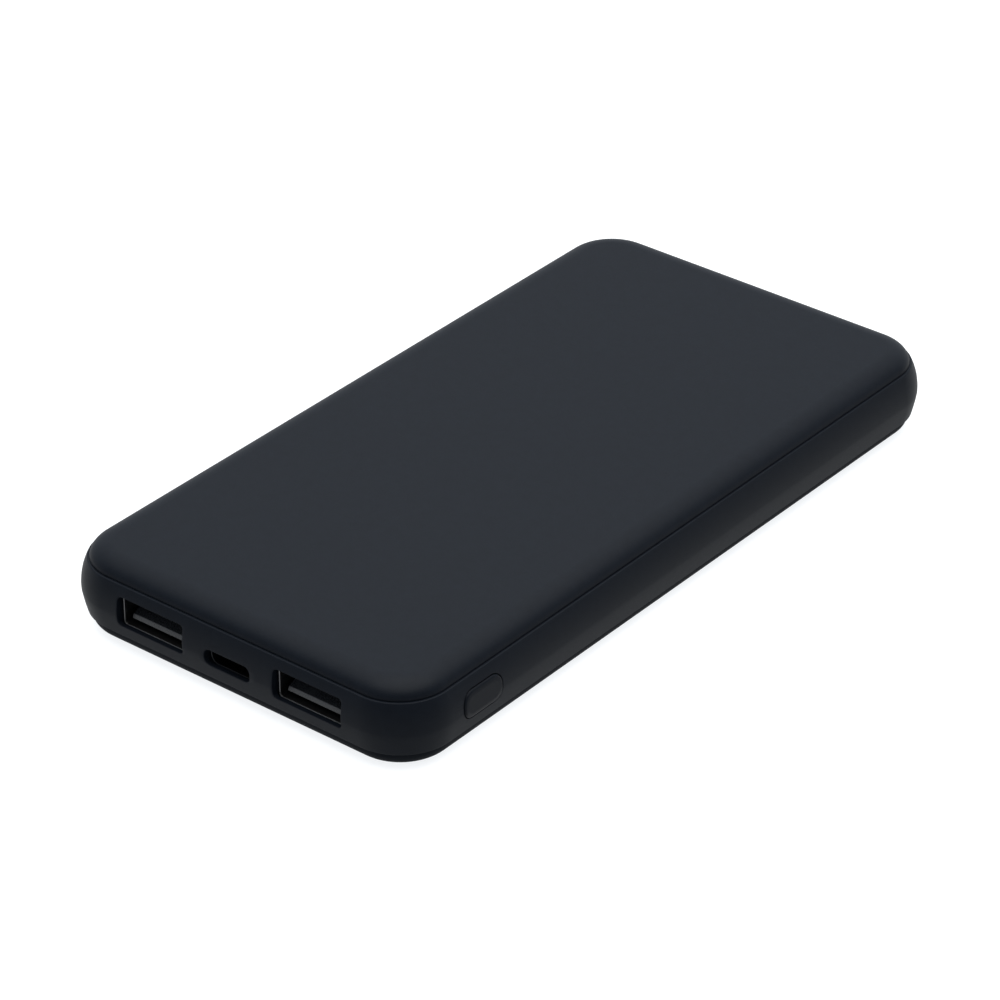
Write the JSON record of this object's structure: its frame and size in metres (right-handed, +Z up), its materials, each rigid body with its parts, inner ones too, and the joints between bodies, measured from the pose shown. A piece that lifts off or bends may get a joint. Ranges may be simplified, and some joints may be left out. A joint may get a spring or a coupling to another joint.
{
  "type": "power bank",
  "caption": "Slim rounded power bank with a soft-touch black case, sockets for charging cables on one short end and a push button on one long side.",
  "frame": {"origin": "centre of the underside, on the surface that the power bank lies on", "axes": "+Z up through the large faces, -Y out of the socket end, +X out of the side with the button, +Y along the length towards the plain end"},
  "size_m": [0.0702, 0.1346, 0.014],
  "materials": {
    "case": "soft-touch rubberised black",
    "button": "satin black",
    "socket_shell": "bright nickel-plated steel",
    "socket_plastic": "moulded grey",
    "contact": "gold-plated",
    "board": "green solder mask",
    "chip": "moulded epoxy",
    "ferrite": "pressed ferrite",
    "ceramic": "fired ceramic with tinned ends",
    "cell_foil": "laminated pouch foil",
    "nickel": "nickel strip",
    "screw": "zinc-plated",
    "tape": "double-sided tape",
    "foam": "open foam",
    "insulation": "amber film",
    "lead_red": "silicone insulation",
    "lead_black": "silicone insulation",
    "stem": "moulded white"
  },
  "bodies": {
    "body": {"board_screw_left": "screw", "board_screw_right": "screw", "bottom_cover": "case", "capacitor_battery": "ceramic", "capacitor_input": "ceramic", "capacitor_output_left": "ceramic", "capacitor_output_right": "ceramic", "cell_lower": "cell_foil", "cell_tab_lower_negative": "nickel", "cell_tab_lower_positive": "nickel", "cell_tab_upper_negative": "nickel", "cell_tab_upper_positive": "nickel", "cell_tape_between": "tape", "cell_tape_floor": "tape", "cell_upper": "cell_foil", "charge_controller": "chip", "circuit_board": "board", "foam_pad": "foam", "insulation_sheet": "insulation", "lead_negative": "lead_black", "lead_positive": "lead_red", "middle_frame": "case", "power_inductor": "ferrite", "protection_board": "board", "protection_chip": "chip", "sense_resistor": "chip", "switch_body": "chip", "top_cover": "case", "usb_a_contact_left_1": "contact", "usb_a_contact_left_2": "contact", "usb_a_contact_left_3": "contact", "usb_a_contact_left_4": "contact", "usb_a_contact_right_1": "contact", "usb_a_contact_right_2": "contact", "usb_a_contact_right_3": "contact", "usb_a_contact_right_4": "contact", "usb_a_insulator_left": "socket_plastic", "usb_a_insulator_right": "socket_plastic", "usb_a_shell_left": "socket_shell", "usb_a_shell_right": "socket_shell", "usb_c_contacts_lower": "contact", "usb_c_contacts_upper": "contact", "usb_c_insulator": "socket_plastic", "usb_c_shell": "socket_shell"},
    "button": {"power_button": "button"},
    "stem": {"switch_stem": "stem"}
  },
  "joints": [
    {"name": "button_press", "type": "slide", "parent": "body", "child": "button", "axis": [-1, 0, 0], "range_m": [0, 0.0004], "stiffness_N_per_m": 2000, "springref_m": -0.0002},
    {"name": "switch_stem_travel", "type": "slide", "parent": "body", "child": "stem", "axis": [-1, 0, 0], "range_m": [0, 0.0004]}
  ],
  "couplings": [
    {"joint": "switch_stem_travel", "follows": "button_press", "ratio": 1}
  ]
}
